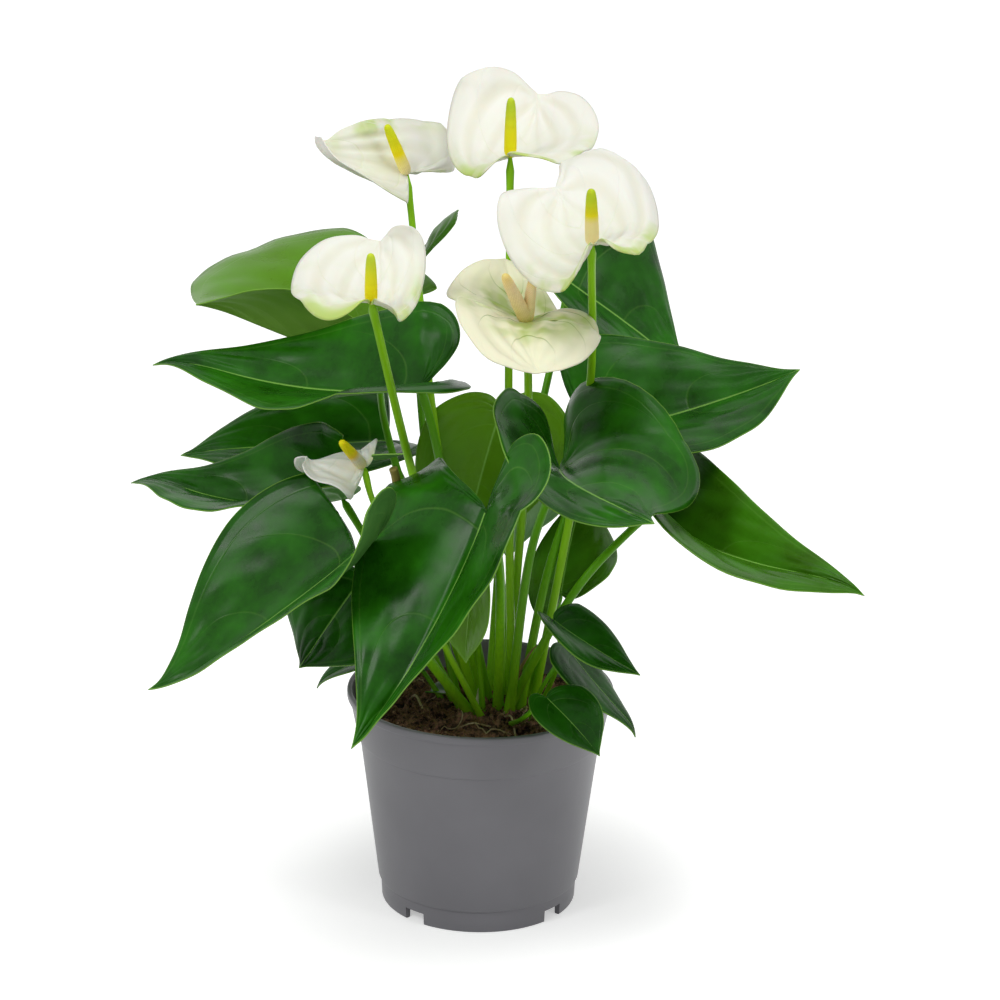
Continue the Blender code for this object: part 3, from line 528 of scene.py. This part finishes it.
def add_blade(name, piece, outline, looks, veins, belly, quilt, ridges, wave, seed, young=0.0,
              groove=0.5, rows=85, columns=19, stands_for=True):
    """A leaf blade or a spathe as a thin closed sheet.

    On the bent half, each point is moved along the surface's normal by: the belly, a cubic that is
    level at the midrib and highest two thirds of the way out; the quilt, |sin| between neighbouring
    side veins; the ridges, a sine that repeats from midrib to margin, so that its crests follow the
    outline, and that dies out where the half gets narrow; the wave, a low ripple that grows towards
    the margin; and the groove, a bell-shaped dent along the midrib. All but the belly shrink with
    the blade, and so do the widths of its veins.
    Side veins leave the midrib at equal steps of the outline and sweep towards the tip with the
    square of the distance across.
    The mesh carries, for its skin: gap, mm between neighbouring side veins; rib and edge, mm from
    the midrib and from the margin; crest, 1 on a ridge and -1 in a furrow; reach, mm from the base;
    and the share of the leaf's lighter green, which is partly a young leaf's own colour and partly
    painted light.
    """
    along = np.linspace(0, 1, rows)[:, None]
    across = np.linspace(0, 1, columns)[None, :]
    count = veins * (along - 0.26 * across**2 * smooth_step(along, 0.0, 0.4))
    sheets, maps, gaps, ribs, edges, crests = [], [], [], [], [], []
    for side, half in zip((1, -1), blade_halves(piece, outline, rows, columns)):
        down_rows, down_columns = np.gradient(half, axis=0), np.gradient(half, axis=1)
        normal = unit(np.cross(down_rows, down_columns)) * side
        rib = np.concatenate([np.zeros((rows, 1)),
                              np.cumsum(np.linalg.norm(np.diff(half, axis=1), axis=-1), 1)], 1)
        width = rib[:, -1:]
        size = min(1.0, width.max() / FULL_WIDTH)
        inside = smooth_step(across, 0.0, 0.2) * (1 - smooth_step(across, 0.75, 1.0))
        drift = 0.5 * ripples(half, DRIFT_LENGTH, seed + 100)
        lift = piece.get("belly", belly) * width * 3 * across**2 * (1 - across)
        lift = lift + size**2 * quilt * (abs(np.sin(np.pi * count)) - 0.5) * inside
        crest = np.sin(2 * np.pi * RIDGE_COUNT * across**0.8 + 1.6 * drift) * (0.65 + 0.5 * drift)
        crest = crest * inside * smooth_step(width, 6.0, 30.0)
        lift = lift + size * ridges * crest
        lift = lift + size * wave * ripples(half, WAVE_LENGTH, seed) * across**2
        groove_line = np.exp(-(rib / GROOVE_WIDTH) ** 2) * smooth_step(along, SEAM, SEAM + 0.1)
        lift = lift - size * groove * groove_line
        lift = lift * smooth_step(width, 0.0, 8.0)
        half = half + normal * lift[..., None]
        sheets.append(half)
        maps.append(np.stack([count, across + 0 * along], -1))
        gaps.append(np.linalg.norm(down_rows, axis=-1) * (rows - 1) / veins / size)
        ribs.append(rib / size)
        edges.append(width - rib)
        crests.append(crest)
    fan = np.linspace(0, 1, rows) < SEAM
    for rib in ribs:
        rib[fan] += 2.0 * (SEAM - along[fan]) / SEAM * smooth_step(across, 0.0, 0.05)

    def joined(parts):
        return np.concatenate([parts[0][:, ::-1], parts[1][:, 1:]], 1)

    places = joined(sheets)
    attributes = {"gap": joined(gaps), "rib": joined(ribs), "edge": joined(edges), "crest": joined(crests),
                  "reach": np.linalg.norm(places - np.array(piece["base"], float), axis=-1),
                  "young": np.full(places.shape[:2], young)}
    blade = add_piece(name, places, grid_faces(rows, 2 * columns - 1), looks,
                      name if stands_for else None, joined(maps), attributes)
    solidify = blade.modifiers.new("Thickness", "SOLIDIFY")
    solidify.thickness = BLADE_THICKNESS * MM
    solidify.offset = 0
    solidify.material_offset = len(looks) - 1
    return blade


# ---------------------------------------------------------------- stems, spadices, soil, pot


def tubes(paths, radii, sides):
    """Round tubes along (tubes, points, 3) paths, with a pole at each end.

    A tube's point is its path's point plus the radius times a circle in the plane across the path.
    """
    tangent = unit(np.gradient(paths, axis=1))
    reference = np.eye(3)[np.argmin(abs(tangent.mean(1)), axis=-1)][:, None, :]
    right = unit(np.cross(tangent, reference))
    up = np.cross(right, tangent)
    turn = np.linspace(0, 2 * np.pi, sides, endpoint=False)
    ring = (np.cos(turn)[:, None] * right[:, :, None] + np.sin(turn)[:, None] * up[:, :, None])
    places = paths[:, :, None] + ring * radii[:, :, None, None]
    start, end = np.repeat(paths[:, :1, None], sides, 2), np.repeat(paths[:, -1:, None], sides, 2)
    places = np.concatenate([start, places, end], 1)
    number, points = places.shape[:2]
    faces = grid_faces(points, sides, closed=True)[None] + np.arange(number)[:, None, None] * points * sides
    return places, faces.reshape(-1, 4)


def add_stem(name, piece, look):
    """A petiole or peduncle from inside the soil through its via point to the foot of its blade.

    Its radius tapers evenly, flares into a sheath over the last 8 mm above the soil, and swells
    slightly just below the blade.
    """
    x, y = piece["root"]
    root = np.array([x, y, soil_height(math.hypot(x, y)) + 0.5])
    route = smooth_curve([root, piece["via"], piece["base"]], 40)
    route = np.vstack([root - (route[1] - root) * 0.8, route])
    distance = np.concatenate([[0], np.cumsum(np.linalg.norm(np.diff(route, axis=0), axis=1))])
    share = distance / distance[-1]
    left = distance[-1] - distance
    radius = piece["stem"][0] + (piece["stem"][1] - piece["stem"][0]) * share
    radius = radius * (1 + 0.35 * np.exp(-distance / 7) + 0.16 * np.exp(-((left - 6) / 5) ** 2))
    radius = radius * (0.45 + 0.55 * smooth_step(left, 0.0, 3.0))
    places, faces = tubes(route[None], radius[None], 16)
    along = np.repeat(np.concatenate([[0], share, [1]])[:, None], 16, 1)
    return add_piece(name, places, faces, [look], name, attributes={"along": along})


def add_spadix(name, piece, look):
    """The finger or fingers on a spathe's base, crusted with beads.

    A finger's radius follows a blunt profile along its axis. The beads are a diamond lattice: the
    product of two cosine waves that wind round the finger in opposite directions.
    """
    base = np.array(piece["base"], float)
    shares = smooth_curve(((0, .55), (.05, .88), (.14, 1), (.40, .97), (.72, .84), (.90, .66),
                           (.97, .42), (1, 0)), 97)
    sides, all_places, all_faces, all_along, all_beads = 56, [], [], [], []
    for number, (tip, radius) in enumerate(piece["spadices"]):
        axis = np.subtract(tip, base)
        length = np.linalg.norm(axis)
        frame_axes = np.array(Vector(axis).to_track_quat("Z", "Y").to_matrix())
        turn = np.linspace(0, 2 * np.pi, sides, endpoint=False)[None, :]
        level, across = shares[:, :1], shares[:, 1:]
        wind = np.pi * length / 1.15 * level
        bead = abs(np.cos(7 * turn + wind) * np.cos(7 * turn - wind))
        out = radius * across + 0.22 * (bead - 0.5) * smooth_step(across, 0.0, 0.4)
        local = np.stack([out * np.cos(turn), out * np.sin(turn), length * level + 0 * turn], -1)
        local = np.concatenate([local[:1] * [0, 0, 1], local], 0)
        all_places.append((local @ frame_axes.T + base).reshape(-1, 3))
        all_faces.append(grid_faces(len(local), sides, closed=True) + number * len(local) * sides)
        all_along.append(np.concatenate([level[:1] + 0 * turn, level + 0 * turn]).ravel())
        all_beads.append(np.concatenate([bead[:1], bead]).ravel())
    return add_piece(name, np.concatenate(all_places), np.concatenate(all_faces), [look], name,
                     attributes={"along": np.concatenate(all_along), "bead": np.concatenate(all_beads)})


def soil_height(radius):
    """Height of the soil's mound at a distance from the pot's axis."""
    return SOIL_EDGE + (SOIL_CROWN - SOIL_EDGE) * np.exp(-((radius / SOIL_SPREAD) ** 2) / 2)


def inner_wall(height):
    """Inner radius of the pot at a height: the band above its lower edge, the body below it."""
    if height > BAND_BOTTOM:
        share = (height - BAND_BOTTOM) / (POT_HEIGHT - LIP_HEIGHT - BAND_BOTTOM)
        return BAND_RADIUS - WALL + share * (RIM_RADIUS - 1.3 - BAND_RADIUS)
    share = (height - FLOOR_TOP) / (BAND_BOTTOM - FLOOR_TOP)
    return BODY_FOOT_RADIUS - WALL + share * (BODY_TOP_RADIUS - BODY_FOOT_RADIUS)


def rough_soil(x, y):
    """Height of the lumpy soil: the mound, plus ripples of 14, 5 and 2 mm, calmer at the wall."""
    radius = np.hypot(x, y)
    flat = np.stack([x, y], -1)
    lumps = 1.3 * ripples(flat, 14.0, 3) + 0.8 * ripples(flat, 5.0, 4) + 0.45 * ripples(flat, 2.2, 5)
    return soil_height(radius) + lumps * (1 - 0.6 * smooth_step(radius, 48.0, 55.0))


def add_soil(look):
    """The soil: a lumpy disc of rings about the pot's axis, turned down along the wall to the floor."""
    sides = 200
    turn = np.linspace(0, 2 * np.pi, sides, endpoint=False)[None, :]
    edge = inner_wall(SOIL_EDGE) - 0.1
    rings = np.linspace(0, edge, 64)[:, None]
    x, y = rings * np.cos(turn), rings * np.sin(turn)
    top = np.stack([x, y, rough_soil(x, y)], -1)
    down = []
    for level in (BAND_BOTTOM + 1, BAND_BOTTOM - 1.5, FLOOR_TOP + 0.2):
        reach = inner_wall(level) - 0.15
        down.append(np.stack([reach * np.cos(turn), reach * np.sin(turn), level + 0 * turn], -1))
    foot = np.stack([0 * turn, 0 * turn, FLOOR_TOP + 0.2 + 0 * turn], -1)
    places = np.concatenate([top, *down, foot])
    faces = grid_faces(len(places), sides, closed=True)[:, ::-1]
    return add_piece("soil", places, faces, [look], "soil")


def add_crumbs(look):
    """Loose crumbs: icosahedra, each stretched, turned and set into the soil at random."""
    chance = np.random.default_rng(11)
    number = 900
    golden = (1 + math.sqrt(5)) / 2
    ico = np.array([(-1, golden, 0), (1, golden, 0), (-1, -golden, 0), (1, -golden, 0), (0, -1, golden),
                    (0, 1, golden), (0, -1, -golden), (0, 1, -golden), (golden, 0, -1), (golden, 0, 1),
                    (-golden, 0, -1), (-golden, 0, 1)]) / 1.9
    faces = np.array([(0, 11, 5), (0, 5, 1), (0, 1, 7), (0, 7, 10), (0, 10, 11), (1, 5, 9), (5, 11, 4),
                      (11, 10, 2), (10, 7, 6), (7, 1, 8), (3, 9, 4), (3, 4, 2), (3, 2, 6), (3, 6, 8),
                      (3, 8, 9), (4, 9, 5), (2, 4, 11), (6, 2, 10), (8, 6, 7), (9, 8, 1)])
    turn = chance.uniform(0, 2 * np.pi, number)
    radius = 53 * np.sqrt(chance.uniform(0, 1, number))
    x, y = radius * np.cos(turn), radius * np.sin(turn)
    size = chance.uniform(0.4, 1.0, (number, 1)) ** 2 * chance.uniform(0.9, 2.2, (number, 3))
    axes = np.linalg.qr(chance.normal(size=(number, 3, 3)))[0]
    axes *= np.linalg.det(axes)[:, None, None]
    centre = np.stack([x, y, rough_soil(x, y) + 0.3], -1)
    places = centre[:, None] + (ico[None] * size[:, None]) @ axes.transpose(0, 2, 1)
    everything = faces[None] + np.arange(number)[:, None, None] * 12
    return add_piece("soil_crumbs", places, everything.reshape(-1, 3), [look])


def fibres(number, length, thickness, seed):
    """Fibres that lie on the soil: paths whose heading wanders, arching off the ground a little."""
    chance = np.random.default_rng(seed)
    points = 12
    turn, radius = chance.uniform(0, 2 * np.pi, number), 50 * np.sqrt(chance.uniform(0, 1, number))
    heading = chance.uniform(0, 2 * np.pi, (number, 1))
    heading = heading + np.cumsum(chance.normal(0, 0.28, (number, points)), 1)
    step = chance.uniform(0.5, 1.0, (number, 1)) * length / points
    x = (radius * np.cos(turn))[:, None] + np.cumsum(np.cos(heading) * step, 1)
    y = (radius * np.sin(turn))[:, None] + np.cumsum(np.sin(heading) * step, 1)
    keep = np.minimum(1, 52 / np.maximum(np.hypot(x, y), 1))
    x, y = x * keep, y * keep
    arch = np.sin(np.linspace(0, np.pi, points))[None] * chance.uniform(0, 2.2, (number, 1))
    paths = np.stack([x, y, rough_soil(x, y) + 0.2 + arch], -1)
    taper = 0.5 + 0.5 * np.sin(np.linspace(0.3, np.pi - 0.1, points))[None]
    return paths, thickness * chance.uniform(0.6, 1.2, (number, 1)) * taper


def add_pot(look):
    """The pot: one profile of (radius, height) turned about Z, with four notches through the foot.

    Inside a notch's bearings every profile point below its roof is raised to the roof.
    """
    lip_bottom = POT_HEIGHT - LIP_HEIGHT
    foot_in = FOOT_RADIUS - FOOT_WALL
    profile = np.array([
        (0, FLOOR_TOP), (inner_wall(FLOOR_TOP) - 1, FLOOR_TOP), (inner_wall(FLOOR_TOP + 1), FLOOR_TOP + 1),
        (inner_wall(BAND_BOTTOM - 1.6), BAND_BOTTOM - 1.6),
        (inner_wall(BAND_BOTTOM + 0.6), BAND_BOTTOM + 0.6),
        (inner_wall(lip_bottom), lip_bottom), (RIM_RADIUS - 2.5, POT_HEIGHT - 1.1),
        (RIM_RADIUS - 2.2, POT_HEIGHT - 0.35), (RIM_RADIUS - 1.7, POT_HEIGHT - 0.03),
        (RIM_RADIUS - 1.0, POT_HEIGHT), (RIM_RADIUS - 0.45, POT_HEIGHT - 0.15),
        (RIM_RADIUS - 0.12, POT_HEIGHT - 0.5), (RIM_RADIUS, POT_HEIGHT - 1.0),
        (RIM_RADIUS - 0.05, lip_bottom + 0.6), (RIM_RADIUS - 0.25, lip_bottom + 0.15),
        (RIM_RADIUS - 0.7, lip_bottom), (RIM_RADIUS - 1.2, lip_bottom - 0.1),
        (RIM_RADIUS - 1.35, lip_bottom - 0.6),
        (BAND_RADIUS + 0.05, BAND_BOTTOM + 0.7), (BAND_RADIUS - 0.12, BAND_BOTTOM + 0.25),
        (BAND_RADIUS - 0.45, BAND_BOTTOM), (BODY_TOP_RADIUS + 0.15, BAND_BOTTOM - 0.1),
        (BODY_TOP_RADIUS - 0.02, BAND_BOTTOM - 0.5), (BODY_TOP_RADIUS - 2.9, BAND_BOTTOM - 23),
        (BODY_TOP_RADIUS - 5.8, BAND_BOTTOM - 46), (BODY_FOOT_RADIUS + 0.03, FOOT_HEIGHT + 0.6),
        (BODY_FOOT_RADIUS - 0.15, FOOT_HEIGHT + 0.2), (BODY_FOOT_RADIUS - 0.5, FOOT_HEIGHT),
        (BODY_FOOT_RADIUS - 0.95, FOOT_HEIGHT - 0.15), (BODY_FOOT_RADIUS - 1.05, FOOT_HEIGHT - 0.6),
        (FOOT_RADIUS + 0.3, NOTCH_HEIGHT), (FOOT_RADIUS + 0.05, 0.5), (FOOT_RADIUS - 0.12, 0.15),
        (FOOT_RADIUS - 0.5, 0), (foot_in + 0.4, 0), (foot_in + 0.05, 0.4), (foot_in + 0.2, NOTCH_HEIGHT),
        (foot_in + 0.3, FLOOR_BOTTOM - 0.3), (foot_in, FLOOR_BOTTOM), (0, FLOOR_BOTTOM)])
    half = math.degrees(math.asin(NOTCH_WIDTH / 2 / FOOT_RADIUS))
    edges = np.array([bearing + side * half for bearing in NOTCH_BEARINGS for side in (-1, 1)])
    bearings = np.unique(np.concatenate([np.arange(0, 360, 2.5), edges - 0.02, edges + 0.02]))
    inside = (abs((bearings[:, None] - np.array(NOTCH_BEARINGS) + 180) % 360 - 180) < half).any(1)
    turn = np.radians(bearings)[None, :]
    level = np.where(inside[None, :], np.maximum(profile[:, 1:], NOTCH_HEIGHT), profile[:, 1:] + 0 * turn)
    level = np.where(profile[:, 1:] > FLOOR_BOTTOM - 0.5, profile[:, 1:], level)
    places = np.stack([profile[:, :1] * np.cos(turn), profile[:, :1] * np.sin(turn), level], -1)
    pot = add_piece("pot_shell", places, grid_faces(len(profile), len(bearings), closed=True),
                    [look], "pot")
    pot.data.set_sharp_from_angle(angle=math.radians(50))
    return pot


# ---------------------------------------------------------------- the plant

pot_grey = pot_plastic()
# Peat and coir: moist soil, drier crumbs, tan fibres, and pale roots, which dry to a straw colour.
soil_brown = peat("moist_peat", "#2a1a14", "#c4907a")
crumb_brown = peat("peat_crumbs", "#553c2e", "#c09a7c")
fibre_tan = peat("coir_fibre", "#6b4a32", "#b08a60")
root_tan = peat("dry_roots", "#d0b48c", "#f2dfc0")
# Leaf skin: dark and glossy above with sunken veins, lighter and duller below with raised ones. The
# underside's lighter green is its own; the grey mixed into it is painted sheen.
leaf_upper = leaf_skin("leaf_upper_skin", "#123f04", "#29720a", "#7ab21c", "#8cc258", "#86b848", 0.3, 1.0)
leaf_under = leaf_skin("leaf_under_skin", "#457b38", "#629448", "#8cbe30", "#9cc46c", "#93c255", 0.5, -1.0)
# Stem skin: petioles are greener towards the blade, peduncles the same bright green throughout.
petiole_green = stem_skin("petiole_skin", "#90cc1c", "#5fa40e")
peduncle_green = stem_skin("peduncle_skin", "#94d01c", "#8cca1a")
# Spathe skin: ivory with a green foot; the small one is whiter, the double one cream with green veins.
white_spathe = spathe_skin("spathe_white", "#f4f2e8", "#bcd66a", "#eef0da", 50.0, 0.12)
small_spathe = spathe_skin("spathe_small", "#f6f5ee", "#dde8ac", "#f2f2e4", 16.0, 0.05)
cream_spathe = spathe_skin("spathe_cream", "#f6f2d4", "#a2be48", "#7c9c20", 40.0, 0.8)

add_pot(pot_grey)
add_soil(soil_brown)
add_crumbs(crumb_brown)
for name, number, length, thickness, seed, look in (("coir_fibres", 260, 16, 0.22, 21, fibre_tan),
                                                    ("dry_roots", 9, 26, 0.42, 22, root_tan)):
    places, faces = tubes(*fibres(number, length, thickness, seed), 5)
    add_piece(name, places, faces, [look])

# How far each leaf's green is lifted towards the lighter green: partly a young leaf's own colour and partly
# painted light on leaves that catch more light; the others are fully grown and get none.
YOUNG_AND_LIT = {"01": 0.5, "09": 0.6, "13": 0.15, "14": 0.25, "18": 0.5, "19": 0.2}

for key, leaf in LEAVES.items():
    add_blade(f"leaf_{key}", leaf, LEAF_OUTLINE, [leaf_upper, leaf_under], veins=9, belly=0.1,
              quilt=0.6, ridges=0.25, wave=0.5, seed=int(key), young=YOUNG_AND_LIT.get(key, 0.0))
    add_stem(f"petiole_{key}", leaf, petiole_green)

# Colours along each spadix, from its foot to its tip: the open flowers are yellow, the others cream
# or green.
SPADIX_STOPS = {
    "1": ((0.0, "#fdf00c"), (0.42, "#f8f31c"), (0.62, "#e8ee2e"), (0.85, "#cbe438")),
    "2": ((0.0, "#ffeeb8"), (0.28, "#fff08c"), (0.42, "#fdec10"), (0.90, "#dfea26")),
    "3": ((0.0, "#fdea0c"), (0.35, "#fdf318"), (0.60, "#eef02a"), (0.90, "#d2e83c")),
    "4": ((0.0, "#ffeeb4"), (0.42, "#fdeda0"), (0.55, "#f2e81a"), (0.85, "#c6dc2c")),
    "5": ((0.0, "#c8b838"), (0.2, "#f0dca0"), (0.75, "#f8e2b4"), (1.00, "#fbe28a")),
    "6": ((0.0, "#fbee9a"), (0.35, "#fdf4dc"), (0.50, "#fdd83c"), (0.65, "#fdf216")),
}
for key, flower in FLOWERS.items():
    look = {"5": cream_spathe, "6": small_spathe}.get(key, white_spathe)
    add_blade(f"spathe_{key}", flower, SPATHE_OUTLINE, [look], veins=9, belly=0.14,
              quilt=0.15, ridges=0.7, wave=0.9, groove=0.15, seed=40 + int(key), columns=25)
    if key == "5":
        add_blade("spathe_5_back", BACK_SPATHE, SPATHE_OUTLINE, [look], veins=9, belly=0.14,
                  quilt=0.15, ridges=0.3, wave=0.6, groove=0.1, seed=60, columns=25, stands_for=False)
    add_spadix(f"spadix_{key}", flower, spadix_skin(f"spadix_{key}_skin", SPADIX_STOPS[key]))
    add_stem(f"peduncle_{key}", flower, peduncle_green)

# Small things among the stems: a bract under the sixth flower, two sheaths, a leaf on the soil.
# Dead stem skin keeps its streaks and turns to dull straw; the youngest sheath is a pale green.
stub_brown = stem_skin("cut_stub_skin", "#8a8040", "#9a8a50")
dry_sheath = stem_skin("dry_sheath_skin", "#a8865a", "#c8ac80")
pale_sheath = stem_skin("pale_sheath_skin", "#f0ead0", "#c8d890")
SCRAPS = {
    "bract_of_6": dict(base=(-46, -57, 228), tip=(-33, -61, 231), left=(2, -50, -50, 0, .2, 0, 0),
                       right=(2, 50, 50, 0, .2, 0, 0), bends=(-10, 10, 0, 0), look=leaf_under),
    "scrap_leaf": dict(base=(-22, 12, 93), tip=(-10, 4, 95), left=(6, 20, 10, 0, .4, 20, 0),
                       right=(5, 10, -20, 0, .3, 20, 0), bends=(30, 10, 0, 0), look=leaf_upper),
    "dry_sheath": dict(base=(16, -2, 104), tip=(25, -3, 122), left=(1.4, -40, -60, 0, .1, 90, 0),
                       right=(1.2, 60, 40, 0, .1, 90, 0), bends=(20, 20, 0, 0), look=dry_sheath),
    "pale_sheath": dict(base=(-1, -6, 90), tip=(-1, -2, 101), left=(3, -20, -30, 0, .2, -80, 0),
                        right=(3, 20, -30, 0, .2, -80, 0), bends=(10, 10, 0, 0), look=pale_sheath),
}
for key, scrap in SCRAPS.items():
    add_blade(key, scrap, LEAF_OUTLINE, [scrap["look"]], veins=5, belly=0.1, quilt=0.1,
              ridges=0.1, wave=0.3, seed=70, rows=41, columns=7, stands_for=False)
# Roots that lie on the soil near its front edge: three points on each.
ROOTS = (((-32, 8, 91), (-29, 2, 95), (-25, -9, 91)), ((11, -11, 91), (14, -19, 94), (16, -30, 89)),
         ((-9, -22, 90), (-3, -24, 93), (5, -23, 91)), ((20, -18, 91), (25, -13, 96), (27, -2, 92)))
places, faces = tubes(np.array([smooth_curve(path, 24) for path in ROOTS]),
                      np.repeat([[0.55], [0.45], [0.35], [0.3]], 24, 1), 7)
add_piece("surface_roots", places, faces, [root_tan])
places, faces = tubes(smooth_curve(((-36.5, -49, 212), (-37, -50, 217), (-38, -51, 221)), 16)[None],
                      np.full((1, 16), 1.9), 14)
add_piece("cut_stub", places, faces, [stub_brown],
          attributes={"along": np.zeros(places.shape[:3])})

# ---------------------------------------------------------------- floor, light and camera


def seen_directly(tree):
    """1 for what the camera sees, also in a reflection or through glass; 0 for light on the plant."""
    path = node(tree, "ShaderNodeLightPath").outputs
    seen = node(tree, "ShaderNodeMath", {0: path["Is Camera Ray"], 1: path["Is Glossy Ray"]},
                operation="ADD")
    return node(tree, "ShaderNodeMath", {0: seen.outputs[0], 1: path["Is Transmission Ray"]},
                operation="ADD", use_clamp=True).outputs[0]


def add_floor():
    """A plain white floor that keeps the plant's shadow; what is seen of it glows a little, weakest near the
    pot, which is painted shade round the pot, and more so away from it, where it turns into the white of the
    backdrop."""
    mesh = bpy.data.meshes.new("floor")
    mesh.from_pydata([(-4, -4, 0), (4, -4, 0), (4, 4, 0), (-4, 4, 0)], [], [(0, 1, 2, 3)])
    made = bpy.data.materials.new("white_floor")
    made.use_nodes = True
    tree = made.node_tree
    tree.nodes.clear()
    place = node(tree, "ShaderNodeTexCoord").outputs["Object"]
    reach = node(tree, "ShaderNodeVectorMath", {0: place}, operation="LENGTH").outputs["Value"]
    # Painted shade: the glow is lowest within 4 cm of the pot's axis and full beyond 15 cm, so the floor
    # round the pot is darker under any lamp.
    level = node(tree, "ShaderNodeMapRange", {0: reach, 1: 0.04, 2: 0.15, 3: 0.45, 4: 0.74},
                 interpolation_type="SMOOTHSTEP").outputs[0]
    lift = node(tree, "ShaderNodeMath", {0: seen_directly(tree), 1: level}, operation="MULTIPLY").outputs[0]
    glow = node(tree, "ShaderNodeEmission", {"Color": (1, 1, 1, 1), "Strength": lift})
    matt = node(tree, "ShaderNodeBsdfDiffuse", {"Color": colour("#e6e6e6")})
    both = node(tree, "ShaderNodeAddShader", {0: glow.outputs[0], 1: matt.outputs[0]})
    node(tree, "ShaderNodeOutputMaterial", {"Surface": both.outputs[0]})
    mesh.materials.append(made)
    floor = bpy.data.objects.new("floor", mesh)
    bpy.context.scene.collection.objects.link(floor)


def add_world(strength):
    """Even white light from all round, which the camera and reflections see as plain white."""
    world = bpy.data.worlds.new("studio")
    world.use_nodes = True
    tree = world.node_tree
    level = node(tree, "ShaderNodeMapRange",
                 {0: seen_directly(tree), 1: 0.0, 2: 1.0, 3: strength, 4: 1.0}).outputs[0]
    background = tree.nodes["Background"]
    background.inputs["Color"].default_value = (1, 1, 1, 1)
    tree.links.new(level, background.inputs["Strength"])
    bpy.context.scene.world = world


def add_softbox(name, place, aim, size, power):
    """A square soft box that shines from a place towards a point, both in metres."""
    lamp = bpy.data.lights.new(name, "AREA")
    lamp.size = size
    lamp.energy = power
    box = bpy.data.objects.new(name, lamp)
    box.location = place
    box.rotation_euler = (Vector(aim) - Vector(place)).to_track_quat("-Z", "Y").to_euler()
    bpy.context.scene.collection.objects.link(box)


def add_camera():
    """A long lens 1.6 m from the plant, a little above it, rolled by under a degree."""
    distance, pitch, roll = 1.6, math.radians(19.16), math.radians(0.78)
    aim = Vector((0.0076, 0.0, 0.1898))
    ahead = Vector((0, math.cos(pitch), -math.sin(pitch)))
    right, up = Vector((1, 0, 0)), Vector((0, math.sin(pitch), math.cos(pitch)))
    across = right * math.cos(roll) + up * math.sin(roll)
    upright = up * math.cos(roll) - right * math.sin(roll)
    lens = bpy.data.cameras.new("camera")
    lens.lens = 130.4
    lens.sensor_width = 36.0
    camera = bpy.data.objects.new("camera", lens)
    turned = Matrix((across, upright, -ahead)).transposed()
    camera.matrix_world = Matrix.Translation(aim - ahead * distance) @ turned.to_4x4()
    bpy.context.scene.collection.objects.link(camera)
    bpy.context.scene.camera = camera


add_floor()
add_world(0.4)
add_softbox("key", (-0.9, -1.1, 1.5), (0, 0, 0.2), 0.5, 10.8)
add_softbox("top", (0.3, -0.3, 1.7), (0, 0, 0.2), 0.6, 6.8)
add_softbox("fill", (1.2, -0.8, 0.9), (0, 0, 0.2), 0.4, 3.0)
add_camera()
bpy.context.scene.view_settings.view_transform = "Standard"
